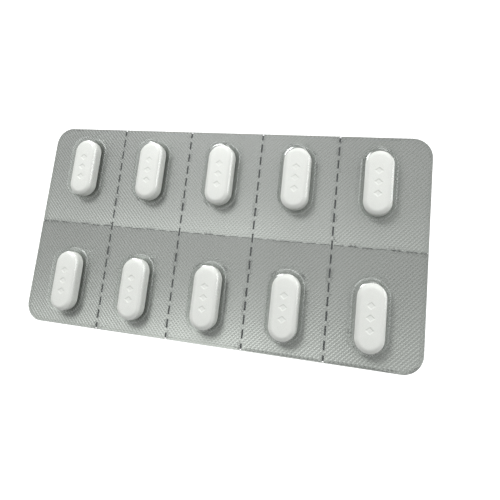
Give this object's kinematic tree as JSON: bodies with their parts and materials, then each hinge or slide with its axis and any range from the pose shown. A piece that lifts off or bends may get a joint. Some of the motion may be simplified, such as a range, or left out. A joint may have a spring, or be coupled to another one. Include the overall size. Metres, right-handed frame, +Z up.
{
  "type": "pill blister pack",
  "caption": "Flat push-through pack: clear moulded film with rows of oblong pockets, each holding a white tablet, sealed to foil and perforated into cells.",
  "frame": {"origin": "middle of the foil's underside, which is the bottom of the bounding box", "axes": "+X along the long edge, +Y across it from the front row to the back row, +Z up out of the pockets"},
  "size_m": [0.1106, 0.058, 0.005],
  "materials": {
    "film": "clear, gloss, fine crossed knurl pressed into the seal area",
    "foil": "satin, fine crossed knurl from the sealing tool",
    "tablet": "smooth film coating, slightly satin"
  },
  "bodies": {
    "root": {"forming_film": "film", "lidding_foil": "foil", "tablet_front_1": "tablet", "tablet_front_2": "tablet", "tablet_front_3": "tablet", "tablet_front_4": "tablet", "tablet_front_5": "tablet", "tablet_back_1": "tablet", "tablet_back_2": "tablet", "tablet_back_3": "tablet", "tablet_back_4": "tablet", "tablet_back_5": "tablet"}
  },
  "joints": []
}
